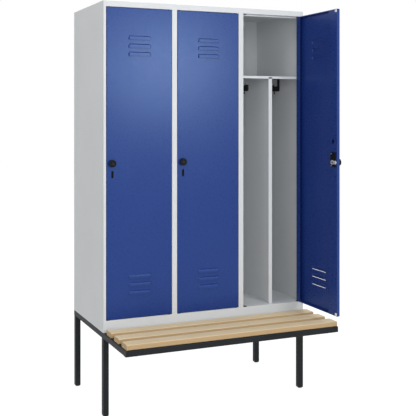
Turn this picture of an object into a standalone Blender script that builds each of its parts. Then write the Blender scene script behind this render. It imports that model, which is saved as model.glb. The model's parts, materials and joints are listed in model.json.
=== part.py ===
"""Clothes locker with bench: three doors side by side, on a tube frame that carries a slatted bench.

Lengths are in metres. X runs to the right as the doors are seen, Y to the back and Z up. The pieces
are placed about the point on the floor under the middle of the doors' front plane. One empty carries
them all, and is moved last, so that the world's origin lies under the middle of their common box.
"""

import math

import bmesh
import bpy
from mathutils import Matrix, Vector

# Overall sizes
WIDTH = 1.200
BODY_DEPTH = 0.500
BODY_HEIGHT = 1.700
FRAME_TOP = 0.430
BENCH_REACH = 0.315
COMPARTMENTS = 3

# Sheet steel, its bends, and the gap between neighbours
SHEET = 0.0008
GAP = 0.0003
BEND_RADIUS = 0.003
BEND_STEPS = 3
CUT_OVERRUN = 0.004
MERGE_DISTANCE = 0.00001
ROUND_STEPS = 16
SMOOTH_ANGLE = math.radians(35)

# Front frame of the body
END_POST = 0.015
MIDDLE_POST = 0.030
TOP_RAIL = 0.030
BOTTOM_RAIL = 0.062
OUTER_FLANGE = 0.015
REBATE_DEPTH = 0.022
LIP = 0.0085
CAM_NOTCH_HEIGHT = 0.024

# Doors
DOOR_GAP = 0.002
DOOR_THICKNESS = 0.018
DOOR_EDGE_RADIUS = 0.0025
LOCK_SIDE_FLANGE = 0.020
HINGE_SIDE_FLANGE = 0.035
END_FLANGE = 0.005
HINGE_FROM_EDGE = 0.007
HINGE_FROM_FRONT = 0.0065
OPEN_DOOR = 3
OPEN_ANGLE = math.radians(90)

# Louvres and label frame, pressed into each door
LOUVRES_IN_SET = 3
LOUVRE_WIDTH = 0.126
LOUVRE_HEIGHT = 0.021
LOUVRE_RISE = 0.0055
LOUVRE_CORNER = 0.010
LOUVRE_FLANK = 0.0045
LOUVRE_PITCH = 0.042
LOUVRE_CORNER_STEPS = 4
UPPER_SET_FROM_TOP = 0.1423
LOWER_SET_FROM_BOTTOM = 0.2254
LABEL_WIDTH = 0.068
LABEL_HEIGHT = 0.040
LABEL_FROM_TOP = 0.0866
LABEL_RIDGE = 0.0016
LABEL_RISE = 0.0006

# Door stiffener
STIFFENER_WIDTH = 0.0507
STIFFENER_HOLE_WIDTH = 0.017
STIFFENER_HOLE_HEIGHT = 0.024
STIFFENER_HOLE_FROM_EDGE = 0.033
STIFFENER_HOLE_ABOVE_LOCK = 0.109

# Lock: turning knob on a spindle, case behind the stiffener, cam, and the slot under the knob
LOCK_FROM_EDGE = 0.0285
KNOB_DIAMETER = 0.038
KNOB_RISE = 0.0185
KNOB_DISC = 0.009
KNOB_NECK_DIAMETER = 0.026
KNOB_ROUNDING = 0.003
KNOB_ROUNDING_STEPS = 3
KNOB_STEPS = 28
KNOB_DISH_DIAMETER = 0.023
KNOB_DISH_DEPTH = 0.0016
KEYWAY_WIDTH = 0.0024
KEYWAY_HEIGHT = 0.009
KEYWAY_DEPTH = 0.004
SPINDLE_DIAMETER = 0.008
SPINDLE_END = 0.003
SLOT_FROM_EDGE = 0.0315
SLOT_WIDTH = 0.010
SLOT_HEIGHT = 0.036
SLOT_BELOW_LOCK = 0.058
CASE_WIDTH = 0.0425
CASE_HEIGHT = 0.076
CASE_THICKNESS = 0.0045
CASE_CORNER = 0.003
CASE_BEFORE_SPINDLE = 0.021
CASE_BELOW_SPINDLE = 0.023
CAM_THICKNESS = 0.0025
CAM_PAST_EDGE = 0.0008
CAM_TONGUE_REACH = LOCK_FROM_EDGE + CAM_PAST_EDGE
CAM_TONGUE_WIDTH = 0.020
CAM_WAIST_WIDTH = 0.011
CAM_HUB_WIDTH = 0.022
CAM_HUB_REACH = 0.016
CAM_WAIST_SHARE = 0.40
CAM_SHOULDER_SHARE = 0.68
CAM_CORNER_STEPS = 4

# Hinge pins, with a collar in the gap between door and frame
PIN_DIAMETER = 0.007
PIN_COLLAR_DIAMETER = 0.012
PIN_IN_DOOR = 0.014
PIN_IN_FRAME = 0.006

# Door buffers
BUFFER_WIDTH = 0.013
BUFFER_HEIGHT = 0.014
BUFFER_FROM_EDGE = 0.001
BUFFER_FROM_END = 0.003
BUFFER_ROUNDING = 0.0012

# Inside of the compartments
HAT_SPACE = 0.338
SHELF_FOLD = 0.014
SHELF_FROM_LIP = 0.0012
SHELF_NOTCH_WIDTH = 0.022
SHELF_NOTCH_HEIGHT = 0.005
PARTITION_FLANGE = 0.021
PARTITION_RETURN = 0.009

# Swivel hooks under the shelves
HOOK_FROM_FRONT = 0.140
HOOK_DROP = 0.080
HOOK_STEM_REACH = 0.029
HOOK_STEM_WIDTH = 0.010
HOOK_TIP_REACH = 0.024
HOOK_TIP_WIDTH = 0.020
HOOK_TIP_ROUNDING = 0.004
HOOK_BLOCK = 0.027
HOOK_PRONG = 0.009
HOOK_FOOT_ROUNDING = 0.008
HOOK_THROAT_ROUNDING = 0.007
HOOK_THICKNESS = 0.014
HOOK_HEAD_HEIGHT = 0.010
HOOK_NIB_NECK = 0.0045
HOOK_NIB_DIAMETER = 0.009
HOOK_NIB_LENGTH = 0.016
HOOK_EDGE = 0.0015
HOOK_STUD_DIAMETER = 0.0074
HOOK_CAP_DIAMETER = 0.014
HOOK_CAP_HEIGHT = 0.0025
HOOK_BEND_STEPS = 4
HOOK_TURN = math.radians(-45)

# Base frame of square tube, with glides
TUBE = 0.030
TUBE_WALL = 0.002
TUBE_CORNER = 0.003
TUBE_CORNER_STEPS = 2
TUBE_VENT_DIAMETER = 0.008
GLIDE_HEIGHT = 0.019
GLIDE_ROUNDING = 0.010
GLIDE_ROUNDING_STEPS = 3
GLIDE_STEM_LENGTH = 0.025

# Bench slats
SLATS = 3
SLAT_WIDTH = 0.072
SLAT_THICKNESS = 0.027
SLAT_END_INSET = 0.005
SLAT_TO_DOORS = 0.033
SLAT_ROUNDING = 0.005
SLAT_ROUNDING_STEPS = 3

# Places worked out from the sizes above
BODY_BOTTOM = FRAME_TOP + GAP
BODY_TOP = FRAME_TOP + BODY_HEIGHT
SILL = FRAME_TOP + BOTTOM_RAIL
LINTEL = BODY_TOP - TOP_RAIL
HALF_WIDTH = WIDTH / 2
OPENING_WIDTH = (WIDTH - 2 * END_POST - (COMPARTMENTS - 1) * MIDDLE_POST) / COMPARTMENTS
COMPARTMENT_PITCH = OPENING_WIDTH + MIDDLE_POST
CENTRES = [(n - (COMPARTMENTS - 1) / 2) * COMPARTMENT_PITCH for n in range(COMPARTMENTS)]
WALLS = [-HALF_WIDTH + SHEET / 2]
WALLS += [centre + COMPARTMENT_PITCH / 2 for centre in CENTRES[:-1]]
WALLS += [HALF_WIDTH - SHEET / 2]
PANEL_FRONT = OUTER_FLANGE + GAP
PANEL_BACK = BODY_DEPTH - SHEET - GAP
BEHIND_LIP = REBATE_DEPTH + SHEET
ROOF_UNDERSIDE = BODY_TOP - SHEET
SHELF_TOP = LINTEL - HAT_SPACE
SHELF_FRONT = BEHIND_LIP + SHELF_FROM_LIP

# A door's places, measured from its hinge axis in X and Y and from the floor in Z
DOOR_WIDTH = OPENING_WIDTH - 2 * DOOR_GAP
DOOR_BOTTOM = SILL + DOOR_GAP
DOOR_TOP = LINTEL - DOOR_GAP
DOOR_RIGHT = HINGE_FROM_EDGE
DOOR_LEFT = DOOR_RIGHT - DOOR_WIDTH
DOOR_FRONT = -HINGE_FROM_FRONT
DOOR_BACK = DOOR_FRONT + DOOR_THICKNESS
LOCK_X = DOOR_LEFT + LOCK_FROM_EDGE
LOCK_Z = (DOOR_BOTTOM + DOOR_TOP) / 2
SLOT_X = DOOR_LEFT + SLOT_FROM_EDGE
CASE_FRONT = DOOR_BACK + GAP
CAM_FRONT = CASE_FRONT + CASE_THICKNESS + GAP
CAM_BACK = CAM_FRONT + CAM_THICKNESS
HINGES = [centre + OPENING_WIDTH / 2 - DOOR_GAP - HINGE_FROM_EDGE for centre in CENTRES]


def clear_scene():
    """Removes what the startup scene holds."""
    for thing in list(bpy.data.objects):
        bpy.data.objects.remove(thing, do_unlink=True)


def paint(name, colour, roughness, metallic=0.0):
    """A plain Principled material. The colour is linear."""
    material = bpy.data.materials.new(name)
    material.use_nodes = True
    shader = material.node_tree.nodes["Principled BSDF"]
    shader.inputs["Base Color"].default_value = (*colour, 1)
    shader.inputs["Roughness"].default_value = roughness
    shader.inputs["Metallic"].default_value = metallic
    material.diffuse_color = (*colour, 1)
    return material


def solid():
    """An empty mesh to build in."""
    return bmesh.new()


def add_box(bm, low, high):
    """Adds the box between two opposite corners."""
    low, high = Vector(low), Vector(high)
    place = Matrix.LocRotScale((low + high) / 2, None, high - low)
    bmesh.ops.create_cube(bm, size=1, matrix=place)
    return bm


def add_loop(bm, outline, level, axes):
    """Adds an outline's points at one level. Axes "xzy" lays it out in X and Z, with the level along Y."""
    loop = []
    for u, v in outline:
        place = dict(zip(axes, (u, v, level)))
        loop.append(bm.verts.new((place["x"], place["y"], place["z"])))
    return loop


def add_wall(bm, first, last):
    """Adds the faces between two closed loops with as many points."""
    for k in range(len(first)):
        bm.faces.new((first[k - 1], first[k], last[k], last[k - 1]))


def add_skin(bm, loops):
    """Adds the walls between neighbouring loops, and a face on the first and the last."""
    for first, last in zip(loops, loops[1:]):
        add_wall(bm, first, last)
    bm.faces.new(loops[0])
    bm.faces.new(loops[-1])
    return bm


def add_prism(bm, outline, start, end, axes):
    """Adds an outline pushed from start to end."""
    return add_skin(bm, [add_loop(bm, outline, level, axes) for level in (start, end)])


def add_ring(bm, outer, inner, start, end, axes):
    """Adds the ring between two outlines with as many points, pushed from start to end."""
    loops = [add_loop(bm, outline, level, axes) for outline in (outer, inner) for level in (start, end)]
    outer_start, outer_end, inner_start, inner_end = loops
    around = (outer_start, outer_end, inner_end, inner_start)
    for k in range(len(around)):
        add_wall(bm, around[k - 1], around[k])
    return bm


def add_turned(bm, profile, axes, steps=ROUND_STEPS):
    """Adds a solid of revolution. The profile is (radius, height) pairs, with no point on the axis."""
    return add_skin(bm, [add_loop(bm, circle(radius, steps), height, axes) for radius, height in profile])


def arc(centre, radii, start, end, steps):
    """Points along an arc of a circle or ellipse, both ends included. The angles are in degrees."""
    points = []
    for k in range(steps + 1):
        angle = math.radians(start + (end - start) * k / steps)
        points.append((centre[0] + radii[0] * math.cos(angle), centre[1] + radii[1] * math.sin(angle)))
    return points


def circle(radius, steps=ROUND_STEPS, centre=(0, 0)):
    """A circle's outline."""
    return arc(centre, (radius, radius), 0, 360 * (steps - 1) / steps, steps - 1)


def box_outline(low, high):
    """A rectangle's outline."""
    return [(low[0], low[1]), (high[0], low[1]), (high[0], high[1]), (low[0], high[1])]


def rounded(low, high, radius, steps=BEND_STEPS):
    """A rectangle's outline with round corners."""
    corners = (
        (high[0] - radius, high[1] - radius, 0),
        (low[0] + radius, high[1] - radius, 90),
        (low[0] + radius, low[1] + radius, 180),
        (high[0] - radius, low[1] + radius, 270),
    )
    outline = []
    for u, v, angle in corners:
        outline += arc((u, v), (radius, radius), angle, angle + 90, steps)
    return outline


def is_front_bend(edge):
    """True for an edge in the front plane, Y 0 or the door's front, where two faces meet at an angle."""
    if len(edge.link_faces) != 2 or edge.calc_face_angle() < SMOOTH_ANGLE:
        return False
    front = min(vert.co.y for face in edge.link_faces for vert in face.verts)
    return all(abs(vert.co.y - front) < MERGE_DISTANCE for vert in edge.verts)


def is_top_bend(edge):
    """True for an edge in the uppermost plane, where two faces meet at an angle."""
    if len(edge.link_faces) != 2 or edge.calc_face_angle() < SMOOTH_ANGLE:
        return False
    top = max(vert.co.z for face in edge.link_faces for vert in face.verts)
    return all(abs(vert.co.z - top) < MERGE_DISTANCE for vert in edge.verts)


def folded(faces, facing, bends, radius):
    """The outer skin of a folded sheet. The first face looks along facing. Bends picks the round folds."""
    bm = solid()
    for corners in faces:
        bm.faces.new([bm.verts.new(corner) for corner in corners])
    bmesh.ops.remove_doubles(bm, verts=bm.verts, dist=MERGE_DISTANCE)
    bmesh.ops.recalc_face_normals(bm, faces=bm.faces)
    bm.faces.ensure_lookup_table()
    if bm.faces[0].normal.dot(Vector(facing)) < 0:
        bmesh.ops.reverse_faces(bm, faces=bm.faces)
    edges = [edge for edge in bm.edges if bends(edge)]
    bmesh.ops.bevel(bm, geom=edges, offset=radius, segments=BEND_STEPS, profile=0.5, affect="EDGES")
    return bm


def helper(bm, name, closed=True):
    """A hidden object that holds a mesh while the next shape is worked out."""
    if closed:
        bmesh.ops.recalc_face_normals(bm, faces=bm.faces)
        bmesh.ops.triangulate(bm, faces=bm.faces)
    mesh = bpy.data.meshes.new(name)
    bm.to_mesh(mesh)
    bm.free()
    holder = bpy.data.objects.new(name, mesh)
    holder.hide_render = True
    holder.display_type = "WIRE"
    bpy.context.scene.collection.objects.link(holder)
    return holder


def shaped(base, joined=None, removed=None, sheet=0):
    """One mesh: the base, given a wall if it is a sheet's skin, with solids joined on and others cut out."""
    holders = [helper(base, "base", closed=not sheet)]
    if sheet:
        thickness = holders[0].modifiers.new("Thickness", "SOLIDIFY")
        thickness.thickness = sheet
        thickness.offset = -1
        thickness.use_even_offset = True
        holders[0].modifiers.new("Flat faces", "TRIANGULATE")
    for operation, operand in (("UNION", joined), ("DIFFERENCE", removed)):
        if operand is None:
            continue
        holders.append(helper(operand, operation.lower()))
        boolean = holders[0].modifiers.new(operation.title(), "BOOLEAN")
        boolean.operation = operation
        boolean.object = holders[-1]
        boolean.solver = "EXACT"
    graph = bpy.context.evaluated_depsgraph_get()
    mesh = bpy.data.meshes.new_from_object(holders[0].evaluated_get(graph))
    for holder in holders:
        spare = holder.data
        bpy.data.objects.remove(holder)
        bpy.data.meshes.remove(spare)
    mesh.shade_smooth()
    mesh.set_sharp_from_angle(angle=SMOOTH_ANGLE)
    return mesh


def united(first, second):
    """Two solids that run into each other, made one."""
    mesh = shaped(first, joined=second)
    bm = solid()
    bm.from_mesh(mesh)
    bpy.data.meshes.remove(mesh)
    return bm


def node(name, mesh, material, parent, location=(0, 0, 0), turn=0.0):
    """One piece of the locker, at its place under its parent."""
    piece = bpy.data.objects.new(name, mesh)
    if not mesh.materials:
        mesh.materials.append(material)
    bpy.context.scene.collection.objects.link(piece)
    piece.parent = parent
    piece.location = location
    piece.rotation_euler.z = turn
    return piece


def empty(name, parent, location=(0, 0, 0), turn=0.0):
    """A point that carries pieces."""
    point = bpy.data.objects.new(name, None)
    bpy.context.scene.collection.objects.link(point)
    point.parent = parent
    point.location = location
    point.rotation_euler.z = turn
    return point


def opening_faces(left, right):
    """The skin round one door opening: sill, returns, and the lips that the door closes against."""
    low, top, back = SILL, LINTEL, REBATE_DEPTH
    faces = [
        [(left, 0, low), (right, 0, low), (right, back, low), (left, back, low)],
        [(left, 0, top), (right, 0, top), (right, back, top), (left, back, top)],
    ]
    inner_left, inner_right, inner_top = left + LIP, right - LIP, top - LIP
    corners = [(left, top), (right, top), (inner_right, inner_top), (inner_left, inner_top)]
    faces.append([(x, back, z) for x, z in corners])
    for side, inner in ((left, inner_left), (right, inner_right)):
        faces.append([(side, 0, low), (side, 0, top), (side, back, top), (side, back, low)])
        corners = [(side, low), (side, top), (inner, inner_top), (inner, low + LIP)]
        faces.append([(x, back, z) for x, z in corners])
    return faces


def front_frame():
    """Posts and rails of one folded sheet, with a hole for each hinge pin and a notch for each cam."""
    columns = [-HALF_WIDTH]
    for centre in CENTRES:
        columns += [centre - OPENING_WIDTH / 2, centre + OPENING_WIDTH / 2]
    columns.append(HALF_WIDTH)
    rows = [BODY_BOTTOM, SILL, LINTEL, BODY_TOP]
    faces = []
    for i, (left, right) in enumerate(zip(columns, columns[1:])):
        for low, high in zip(rows, rows[1:]):
            if low != SILL or i % 2 == 0:
                faces.append([(left, 0, low), (right, 0, low), (right, 0, high), (left, 0, high)])
        if i % 2:
            faces += opening_faces(left, right)
        for z in (BODY_BOTTOM, BODY_TOP):
            faces.append([(left, 0, z), (right, 0, z), (right, OUTER_FLANGE, z), (left, OUTER_FLANGE, z)])
    for low, high in zip(rows, rows[1:]):
        for x in (-HALF_WIDTH, HALF_WIDTH):
            faces.append([(x, 0, low), (x, 0, high), (x, OUTER_FLANGE, high), (x, OUTER_FLANGE, low)])
    cuts = solid()
    for centre, hinge in zip(CENTRES, HINGES):
        for level in (SILL, LINTEL):
            hole = circle(PIN_DIAMETER / 2 + GAP, centre=(hinge, HINGE_FROM_FRONT))
            add_prism(cuts, hole, level - CUT_OVERRUN, level + CUT_OVERRUN, "xyz")
        left = centre - OPENING_WIDTH / 2
        low = (left, REBATE_DEPTH - CUT_OVERRUN, LOCK_Z - CAM_NOTCH_HEIGHT / 2)
        high = (left + LIP + CUT_OVERRUN, REBATE_DEPTH + CUT_OVERRUN, LOCK_Z + CAM_NOTCH_HEIGHT / 2)
        add_box(cuts, low, high)
    return shaped(folded(faces, (0, -1, 0), is_front_bend, BEND_RADIUS), removed=cuts, sheet=SHEET)


def hood_outline(left, right, low, top, corner):
    """A louvre's outline from one lower corner over the top to the other, with round upper corners."""
    outline = [(left, low)]
    outline += arc((left + corner, top - corner), (corner, corner), 180, 90, LOUVRE_CORNER_STEPS)
    outline += arc((right - corner, top - corner), (corner, corner), 90, 0, LOUVRE_CORNER_STEPS)
    outline.append((right, low))
    return outline


def add_louvre(bm, across, upright, level, back, drop=0):
    """Adds one hood: a flat face in front of the door, steep flanks round it, and a straight lower edge.

    The face reaches down by the drop, past the lower edge of the foot.
    """
    left, right = across
    low, top = upright
    foot = hood_outline(left, right, low, top, LOUVRE_CORNER)
    inset = LOUVRE_FLANK
    face = hood_outline(left + inset, right - inset, low - drop, top - inset, LOUVRE_CORNER - inset)
    loops = [[bm.verts.new((x, y, z)) for x, z in outline] for outline, y in (
        (foot, back), (foot, DOOR_FRONT), (face, level))]
    for first, last in zip(loops, loops[1:]):
        for k in range(len(first)):
            bm.faces.new((first[k - 1], first[k], last[k], last[k - 1]))
    bm.faces.new(loops[0])
    bm.faces.new(loops[-1])


def louvre_tops():
    """The height of each louvre's upper edge, upper set first."""
    sets = (DOOR_TOP - UPPER_SET_FROM_TOP, DOOR_BOTTOM + LOWER_SET_FROM_BOTTOM)
    return [first - k * LOUVRE_PITCH for first in sets for k in range(LOUVRES_IN_SET)]


def door():
    """A folded door leaf, about its hinge axis, with pressed louvres and label frame."""
    left, right, low, top = DOOR_LEFT, DOOR_RIGHT, DOOR_BOTTOM, DOOR_TOP
    outer = [(left, low), (right, low), (right, top), (left, top)]
    inner = [
        (left + LOCK_SIDE_FLANGE, low + END_FLANGE),
        (right - HINGE_SIDE_FLANGE, low + END_FLANGE),
        (right - HINGE_SIDE_FLANGE, top - END_FLANGE),
        (left + LOCK_SIDE_FLANGE, top - END_FLANGE),
    ]
    faces = [[(x, DOOR_FRONT, z) for x, z in outer]]
    for k in range(len(outer)):
        (ax, az), (bx, bz) = outer[k - 1], outer[k]
        (cx, cz), (dx, dz) = inner[k], inner[k - 1]
        edge = [(ax, DOOR_FRONT, az), (bx, DOOR_FRONT, bz), (bx, DOOR_BACK, bz), (ax, DOOR_BACK, az)]
        flange = [(ax, DOOR_BACK, az), (bx, DOOR_BACK, bz), (cx, DOOR_BACK, cz), (dx, DOOR_BACK, dz)]
        faces += [edge, flange]

    middle = (left + right) / 2
    pressed, cuts = solid(), solid()
    start, end = middle - LOUVRE_WIDTH / 2, middle + LOUVRE_WIDTH / 2
    level = DOOR_FRONT - LOUVRE_RISE
    for upper in louvre_tops():
        lower = upper - LOUVRE_HEIGHT
        add_louvre(pressed, (start, end), (lower, upper), level, DOOR_FRONT + SHEET / 2)
        hollow = ((start + SHEET, end - SHEET), (lower, upper - SHEET))
        add_louvre(cuts, *hollow, level + SHEET, DOOR_FRONT + CUT_OVERRUN, drop=SHEET)

    label_top = top - LABEL_FROM_TOP
    rim_low = (middle - LABEL_WIDTH / 2, label_top - LABEL_HEIGHT)
    rim_high = (middle + LABEL_WIDTH / 2, label_top)
    outer = box_outline(rim_low, rim_high)
    inner = box_outline([v + LABEL_RIDGE for v in rim_low], [v - LABEL_RIDGE for v in rim_high])
    add_ring(pressed, outer, inner, DOOR_FRONT - LABEL_RISE, DOOR_FRONT + SHEET / 2, "xzy")

    spindle_hole = circle(SPINDLE_DIAMETER / 2 + GAP, centre=(LOCK_X, LOCK_Z))
    add_prism(cuts, spindle_hole, DOOR_FRONT - CUT_OVERRUN, DOOR_FRONT + CUT_OVERRUN, "xzy")
    slot_z = LOCK_Z - SLOT_BELOW_LOCK
    slot = rounded(
        (SLOT_X - SLOT_WIDTH / 2, slot_z - SLOT_HEIGHT / 2),
        (SLOT_X + SLOT_WIDTH / 2, slot_z + SLOT_HEIGHT / 2),
        SLOT_WIDTH / 2,
    )
    add_prism(cuts, slot, DOOR_FRONT - CUT_OVERRUN, DOOR_FRONT + CUT_OVERRUN, "xzy")
    for level in (low, top):
        add_prism(cuts, circle(PIN_DIAMETER / 2 + GAP), level - CUT_OVERRUN, level + CUT_OVERRUN, "xyz")
    skin = folded(faces, (0, -1, 0), is_front_bend, DOOR_EDGE_RADIUS)
    return shaped(skin, joined=pressed, removed=cuts, sheet=SHEET)


def stiffener():
    """An open channel down the lock side of a door, flush with the door's back flanges."""
    left = DOOR_LEFT + LOCK_SIDE_FLANGE + GAP
    right = left + STIFFENER_WIDTH
    front = DOOR_FRONT + SHEET + GAP
    low, top = DOOR_BOTTOM + END_FLANGE + GAP, DOOR_TOP - END_FLANGE - GAP
    outline = [
        (left, front),
        (left, DOOR_BACK),
        (right, DOOR_BACK),
        (right, front),
        (right - SHEET, front),
        (right - SHEET, DOOR_BACK - SHEET),
        (left + SHEET, DOOR_BACK - SHEET),
        (left + SHEET, front),
    ]
    cuts = solid()
    hole = circle(SPINDLE_DIAMETER / 2 + GAP, centre=(LOCK_X, LOCK_Z))
    add_prism(cuts, hole, DOOR_BACK - CUT_OVERRUN, DOOR_BACK + CUT_OVERRUN, "xzy")
    radii = (STIFFENER_HOLE_WIDTH / 2, STIFFENER_HOLE_HEIGHT / 2)
    centre = (DOOR_LEFT + STIFFENER_HOLE_FROM_EDGE, LOCK_Z + STIFFENER_HOLE_ABOVE_LOCK)
    oval = arc(centre, radii, 0, 360 * (ROUND_STEPS - 1) / ROUND_STEPS, ROUND_STEPS - 1)
    add_prism(cuts, oval, DOOR_BACK - CUT_OVERRUN, DOOR_BACK + CUT_OVERRUN, "xzy")
    return shaped(add_prism(solid(), outline, low, top, "xyz"), removed=cuts)


def lock_case():
    """The flat box behind the stiffener that the spindle passes through."""
    low = (LOCK_X - CASE_BEFORE_SPINDLE, LOCK_Z - CASE_BELOW_SPINDLE)
    high = (low[0] + CASE_WIDTH, low[1] + CASE_HEIGHT)
    back = CASE_FRONT + CASE_THICKNESS
    case = add_prism(solid(), rounded(low, high, CASE_CORNER), CASE_FRONT, back, "xzy")
    bore = circle(SPINDLE_DIAMETER / 2 + GAP, centre=(LOCK_X, LOCK_Z))
    bored = add_prism(solid(), bore, CASE_FRONT - CUT_OVERRUN, back + CUT_OVERRUN, "xzy")
    return shaped(case, removed=bored)


def knob():
    """A disc on a neck, with its spindle, turned about the lock's axis. It has a dish with a keyway."""
    radius, neck = KNOB_DIAMETER / 2, KNOB_NECK_DIAMETER / 2
    face = DOOR_FRONT - KNOB_RISE
    dish = KNOB_DISH_DIAMETER / 2
    profile = [(dish - KNOB_DISH_DEPTH, face + KNOB_DISH_DEPTH), (dish, face)]
    centre = (radius - KNOB_ROUNDING, face + KNOB_ROUNDING)
    profile += arc(centre, (KNOB_ROUNDING, KNOB_ROUNDING), -90, 0, KNOB_ROUNDING_STEPS)
    profile += [(radius, face + KNOB_DISC), (neck, face + KNOB_DISC)]
    profile += [(neck, DOOR_FRONT - GAP), (SPINDLE_DIAMETER / 2, DOOR_FRONT - GAP)]
    profile += [(SPINDLE_DIAMETER / 2, CAM_BACK + SPINDLE_END)]
    keyway = add_box(
        solid(),
        (-KEYWAY_WIDTH / 2, face - CUT_OVERRUN, -KEYWAY_HEIGHT / 2),
        (KEYWAY_WIDTH / 2, face + KNOB_DISH_DEPTH + KEYWAY_DEPTH, KEYWAY_HEIGHT / 2),
    )
    return shaped(add_turned(solid(), profile, "xzy", KNOB_STEPS), removed=keyway)


def cam():
    """The flat cam at the spindle's end, about the lock's axis: tongue to the free edge, waist and hub."""
    waist = -CAM_TONGUE_REACH * CAM_WAIST_SHARE
    shoulder = -CAM_TONGUE_REACH * CAM_SHOULDER_SHARE
    tip = (CAM_TONGUE_REACH + shoulder, CAM_TONGUE_WIDTH / 2)
    end = (CAM_HUB_WIDTH / 2, CAM_HUB_WIDTH / 2)
    outline = arc((shoulder, 0), tip, 90, 270, 2 * CAM_CORNER_STEPS)
    outline += [(waist, -CAM_WAIST_WIDTH / 2)]
    outline += arc((0, 0), end, 225, 270, CAM_CORNER_STEPS)
    outline += arc((CAM_HUB_REACH - end[0], 0), end, -90, 90, 2 * CAM_CORNER_STEPS)
    outline += arc((0, 0), end, 90, 135, CAM_CORNER_STEPS)
    outline += [(waist, CAM_WAIST_WIDTH / 2)]
    plate = add_prism(solid(), outline, CAM_FRONT, CAM_BACK, "xzy")
    bore = circle(SPINDLE_DIAMETER / 2 + GAP)
    bored = add_prism(solid(), bore, CAM_FRONT - CUT_OVERRUN, CAM_BACK + CUT_OVERRUN, "xzy")
    return shaped(plate, removed=bored)


def hinge_pin(level, towards_door):
    """A pin through frame and door at one end of the hinge axis, with its collar in the gap."""
    pin, collar = PIN_DIAMETER / 2, PIN_COLLAR_DIAMETER / 2
    profile = [
        (pin, level - towards_door * PIN_IN_FRAME),
        (pin, level + towards_door * GAP),
        (collar, level + towards_door * GAP),
        (collar, level + towards_door * (DOOR_GAP - GAP)),
        (pin, level + towards_door * (DOOR_GAP - GAP)),
        (pin, level + towards_door * (DOOR_GAP + PIN_IN_DOOR)),
    ]
    return shaped(add_turned(solid(), profile, "xyz"))


def buffer_block(low_z):
    """A soft block on the door's back flange, which meets the frame's lip when the door closes."""
    left = DOOR_LEFT + BUFFER_FROM_EDGE
    lip = REBATE_DEPTH - HINGE_FROM_FRONT
    bm = add_box(
        solid(),
        (left, DOOR_BACK + GAP, low_z),
        (left + BUFFER_WIDTH, lip - GAP, low_z + BUFFER_HEIGHT),
    )
    bmesh.ops.bevel(bm, geom=bm.edges, offset=BUFFER_ROUNDING, segments=2, profile=0.5, affect="EDGES")
    return shaped(bm)


def wall(x, front, low, top):
    """A flat upright sheet from front to back, with its middle at x."""
    return shaped(add_box(solid(), (x - SHEET / 2, front, low), (x + SHEET / 2, PANEL_BACK, top)))


def floor_panel():
    """The floor of all compartments: a tray turned down at the back and both ends, standing on the frame."""
    half = HALF_WIDTH - SHEET - GAP
    front, back = BEHIND_LIP + GAP, PANEL_BACK
    top, low = SILL, BODY_BOTTOM
    faces = [
        [(-half, front, top), (half, front, top), (half, back, top), (-half, back, top)],
        [(-half, back, top), (half, back, top), (half, back, low), (-half, back, low)],
        [(-half, front, top), (-half, back, top), (-half, back, low), (-half, front, low)],
        [(half, front, top), (half, back, top), (half, back, low), (half, front, low)],
    ]
    return shaped(folded(faces, (0, 0, 1), is_top_bend, BEND_RADIUS), sheet=SHEET)


def hat_shelf(left, right, middle, hooks):
    """The shelf under the hat space: turned down at the front and both ends, with two holes for hooks."""
    low = SHELF_TOP - SHELF_FOLD
    front, back, top = SHELF_FRONT, PANEL_BACK, SHELF_TOP
    faces = [
        [(left, front, top), (right, front, top), (right, back, top), (left, back, top)],
        [(left, front, top), (right, front, top), (right, front, low), (left, front, low)],
        [(left, front, top), (left, back, top), (left, back, low), (left, front, low)],
        [(right, front, top), (right, back, top), (right, back, low), (right, front, low)],
    ]
    cuts = add_box(
        solid(),
        (middle - SHELF_NOTCH_WIDTH / 2, front - CUT_OVERRUN, low - CUT_OVERRUN),
        (middle + SHELF_NOTCH_WIDTH / 2, front + CUT_OVERRUN, low + SHELF_NOTCH_HEIGHT),
    )
    for x in hooks:
        hole = circle(HOOK_STUD_DIAMETER / 2 + GAP, centre=(x, HOOK_FROM_FRONT))
        add_prism(cuts, hole, top - CUT_OVERRUN, top + CUT_OVERRUN, "xyz")
    return shaped(folded(faces, (0, 0, 1), is_top_bend, BEND_RADIUS), removed=cuts, sheet=SHEET)


def partition(middle):
    """The wall that halves a compartment under the shelf, with a box edge at the front."""
    front, back = SHELF_FRONT, PANEL_BACK
    low, top = SILL + GAP, SHELF_TOP - SHEET - GAP
    under_fold = SHELF_TOP - SHELF_FOLD - GAP
    half, web = PARTITION_FLANGE / 2, SHEET / 2
    deep = front + PARTITION_RETURN
    outline = [
        (middle - half, front),
        (middle - half, deep),
        (middle - half + SHEET, deep),
        (middle - half + SHEET, front + SHEET),
        (middle - web, front + SHEET),
        (middle - web, back),
        (middle + web, back),
        (middle + web, front + SHEET),
        (middle + half - SHEET, front + SHEET),
        (middle + half - SHEET, deep),
        (middle + half, deep),
        (middle + half, front),
    ]
    cut = add_box(
        solid(),
        (middle - PARTITION_FLANGE, front - CUT_OVERRUN, under_fold),
        (middle + PARTITION_FLANGE, deep + GAP, top + CUT_OVERRUN),
    )
    return shaped(add_prism(solid(), outline, low, top, "xyz"), removed=cut)


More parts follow.
